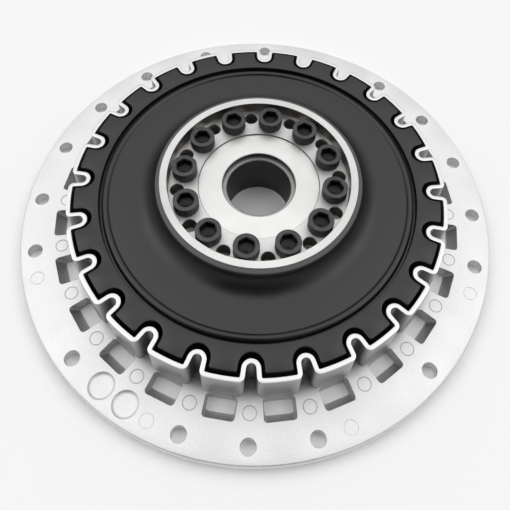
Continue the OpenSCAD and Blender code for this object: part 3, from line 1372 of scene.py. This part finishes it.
@dataclass
class HubScrews:
    """Socket head cap screws with knurled heads."""

    SHADED: ClassVar[int] = 1

    head_r: float = 12.0
    head_h: float = 12.0
    head_foot: float = 0.5
    shank_r: float = 8.0
    shank_steps: int = 32
    length: float = 35.0
    socket_af: float = 14.0
    socket_sides: int = 6
    socket_depth: float = 8.0
    socket_chamfer: float = 0.5
    socket_rim: float = 0.1
    socket_steps: int = 36
    socket_reach: float = 1.0
    pit_inset: float = 1.2
    pit_depth: float = 2.2
    pit_tip: float = 0.02
    pit_steps: int = 24
    knurl_depth: float = 0.35
    knurl_end: float = 1.3
    knurls: int = 48
    collar: float = 1.0
    side_reach: float = 0.6
    chamfer: float = 0.75
    edge: float = 0.3
    face_z: float = 58.5
    sharp: float = 24.0
    pattern: ScrewPattern = ScrewPattern()
    turns: tuple[float, ...] = (0.0, 17.0, 41.0, 8.0, 33.0, 52.0, 24.0, 3.0, 47.0, 29.0, 12.0, 38.0)

    def head_side(self, bm: BMesh) -> list[Loop]:
        """Builds the head's knurled side.

        Args:
            bm: the mesh
        Returns:
            the side's loops from its foot to its top
        """
        r, h, e, foot = self.head_r, self.head_h, self.edge, self.head_foot
        side = circles(bm, (
            (r - foot, 0.0), (r, foot), (r, h - self.knurl_end), (r, h - self.collar), (r, h - e),
            (r - EASE * e, h - EASE * e), (r - e, h)), self.knurls * 2)
        sunk = 1.0 - self.knurl_depth / r
        for loop in side[1:3]:
            verts = sorted(ends(loop), key=lambda vert: math.atan2(vert.co.y, vert.co.x))
            bmesh.ops.scale(bm, vec=(sunk, sunk, 1.0), verts=verts[::2])
        bridge(bm, side)
        return side

    def socket(self, bm: BMesh, outline: Loop) -> None:
        """Builds the head's top and its hexagonal socket, which ends in a drilled pit.

        Args:
            bm: the mesh
            outline: the top's outer edge
        """
        h, floor = self.head_h, self.head_h - self.socket_depth
        corner_r = self.socket_af / 2.0 / math.cos(math.pi / self.socket_sides)
        rim = circle(bm, corner_r + self.socket_rim, h, self.socket_steps)
        mouth = circle(bm, corner_r, h - self.socket_chamfer, self.socket_sides)
        deep = circle(bm, corner_r, floor, self.socket_sides)
        fill(bm, [*outline, *rim])
        fill(bm, [*rim, *mouth])
        bridge(bm, [mouth, deep])
        pit = circle(bm, self.socket_af / 2.0 - self.pit_inset, floor, self.pit_steps)
        fill(bm, [*deep, *pit])
        made = bmesh.ops.extrude_edge_only(bm, edges=pit)
        sunk = [item for item in made["geom"] if isinstance(item, BMVert)]
        bmesh.ops.scale(bm, vec=(self.pit_tip, self.pit_tip, 1.0), verts=sunk)
        bmesh.ops.translate(bm, vec=(0.0, 0.0, -self.pit_depth), verts=sunk)
        fill(bm, [item for item in made["geom"] if isinstance(item, BMEdge)])

    def screw(self, bm: BMesh) -> None:
        """Builds one screw with its head's seat at height 0.

        Args:
            bm: the mesh
        """
        side = self.head_side(bm)
        self.socket(bm, side[-1])
        r, c, end = self.shank_r, self.chamfer, -self.length
        shank = circles(bm, ((r, 0.0), (r, end + c), (r - c, end)), self.shank_steps)
        bridge(bm, shank)
        fill(bm, shank[-1])
        fill(bm, [*side[0], *shank[0]])
        bmesh.ops.remove_doubles(bm, verts=bm.verts, dist=WELD)

    def build(self, finish: BlackOxideFinish, socket_finish: BlackOxideFinish) -> bpy.types.Object:
        """Builds and dresses all the screws.

        Args:
            finish: the screws' finish
            socket_finish: the finish with painted shade inside the sockets and on the heads' sides
        Returns:
            the piece
        """
        bm = bmesh.new()
        self.screw(bm)
        socket_r = self.socket_af / 2.0 + self.socket_reach
        for face in bm.faces:
            spot = face.calc_center_median()
            r = spot.xy.length
            # Painted shade: faces in the socket and on the head's knurled side take the darker copy.
            in_socket = self.head_foot < spot.z < self.head_h - PLAY and r < socket_r
            on_side = 0.0 < spot.z < self.head_h - self.collar and r > self.head_r - self.side_reach
            if in_socket or on_side:
                face.material_index = self.SHADED
        model = [*bm.verts, *bm.edges, *bm.faces]
        for at, turn in zip(self.pattern.screws(), self.turns):
            made = bmesh.ops.duplicate(bm, geom=model)
            verts = [item for item in made["geom"] if isinstance(item, BMVert)]
            rotate(bm, verts, turn)
            bmesh.ops.translate(bm, vec=at + Vector((0.0, 0.0, self.face_z)), verts=verts)
        first = [item for item in model if isinstance(item, BMVert)]
        bmesh.ops.delete(bm, geom=first, context="VERTS")
        return place_piece(bm, "hub_screws",
                           [finish.material(), socket_finish.material()], self.sharp)


@dataclass
class Studio:
    """Floor, soft light and the camera at the photo's view."""

    floor_tone: float = 0.96
    floor_size: float = 4.0
    floor_drop: float = 0.0002
    sky_top: float = 1.75
    sky_rim: float = 0.4
    sky_height: float = 1.0
    gap_towards: Triple = (0.0, -0.7, 0.714)
    gap_span: tuple[float, float] = (0.70, 0.96)
    gap_dark: float = 0.02
    lamp_x: float = 1.35
    lamp_z: float = 1.6
    lamp_size: float = 1.4
    lamp_power: float = 4.5
    lamp_aim: Triple = (0.0, 0.0, 0.03)
    sensor: float = 36.0
    lens: float = 44.8
    shift: tuple[float, float] = (-0.0357, -0.2932)
    clip: tuple[float, float] = (0.01, 20.0)
    camera_at: Triple = (0.0017, -0.32532, 0.58088)
    camera_turn: Triple = (38.877, -2.09, 1.257)

    def floor(self) -> None:
        """Makes the plain pale floor."""
        bm = bmesh.new()
        bmesh.ops.create_grid(bm, x_segments=2, y_segments=2, size=self.floor_size)
        bmesh.ops.translate(bm, vec=(0.0, 0.0, -self.floor_drop), verts=bm.verts)
        mesh = bpy.data.meshes.new("floor")
        bm.to_mesh(mesh)
        bm.free()
        floor = bpy.data.objects.new("floor", mesh)
        bpy.context.scene.collection.objects.link(floor)
        g = Graph(bpy.data.materials.new("pale_floor"))
        surface = g.shader(0.0, roughness=0.9, specular=0.1)
        tone = self.floor_tone
        surface.inputs["Base Color"].default_value = (tone, tone, tone, 1.0)
        mesh.materials.append(g.owner)

    def sky(self) -> None:
        """Lights the scene as in a light tent, with a dark opening on the near side for the camera."""
        world = bpy.data.worlds.new("light_tent")
        bpy.context.scene.world = world
        g = Graph(world)
        where = g.node("ShaderNodeTexCoord").outputs["Generated"]
        toward = g.node("ShaderNodeVectorMath", operation="DOT_PRODUCT")
        toward.inputs[1].default_value = self.gap_towards
        g.link(where, toward.inputs[0])
        tent = g.span(g.height(where), self.sky_rim, self.sky_top, 0.0, self.sky_height, smooth=True)
        gap = g.span(toward.outputs["Value"], 1.0, self.gap_dark, *self.gap_span, smooth=True)
        back = g.node("ShaderNodeBackground")
        out = g.node("ShaderNodeOutputWorld")
        g.link(g.combined("MULTIPLY", tent, gap), back.inputs["Strength"])
        g.link(back.outputs["Background"], out.inputs["Surface"])

    def lamp(self, name: str, at: Triple) -> None:
        """Adds a soft square lamp aimed at the object.

        Args:
            name: the lamp's name
            at: its place in metres
        """
        data = bpy.data.lights.new(name, "AREA")
        data.shape = "SQUARE"
        data.size = self.lamp_size
        data.energy = self.lamp_power
        lamp = bpy.data.objects.new(name, data)
        lamp.location = at
        lamp.rotation_mode = "QUATERNION"
        lamp.rotation_quaternion = (Vector(self.lamp_aim) - Vector(at)).to_track_quat("-Z", "Y")
        bpy.context.scene.collection.objects.link(lamp)

    def camera(self) -> None:
        """Places the camera at the photo's view."""
        data = bpy.data.cameras.new("photo_view")
        data.sensor_width = self.sensor
        data.lens = self.lens
        data.shift_x, data.shift_y = self.shift
        data.clip_start, data.clip_end = self.clip
        camera = bpy.data.objects.new("photo_view", data)
        camera.location = self.camera_at
        camera.rotation_euler = tuple(math.radians(angle) for angle in self.camera_turn)
        bpy.context.scene.collection.objects.link(camera)
        bpy.context.scene.camera = camera

    def build(self) -> None:
        """Sets the whole stage."""
        bpy.context.scene.view_settings.view_transform = "Standard"
        self.floor()
        self.sky()
        self.lamp("left_softbox", (-self.lamp_x, 0.0, self.lamp_z))
        self.lamp("right_softbox", (self.lamp_x, 0.0, self.lamp_z))
        self.camera()


def main() -> None:
    """Builds the pieces and the stage."""
    logging.basicConfig(level=logging.INFO, format="%(message)s")
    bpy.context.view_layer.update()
    pieces = [
        DrivingRing().build(CastFinish(), MachinedFinish(), CastSkinFinish()),
        RubberElement().build(RubberFinish(), TRIMMED_RUBBER),
        ElementRing().build(TURNED_STEEL, SHADED_INNER_STEEL),
        Hub().build(HUB_STEEL, SHADED_BORE_STEEL, SHADED_SEAT_STEEL),
        HubScrews().build(BlackOxideFinish(), SHADED_BLACK_OXIDE),
    ]
    Studio().build()
    LOG.info("%d pieces", len(pieces))


if __name__ == "__main__":
    main()
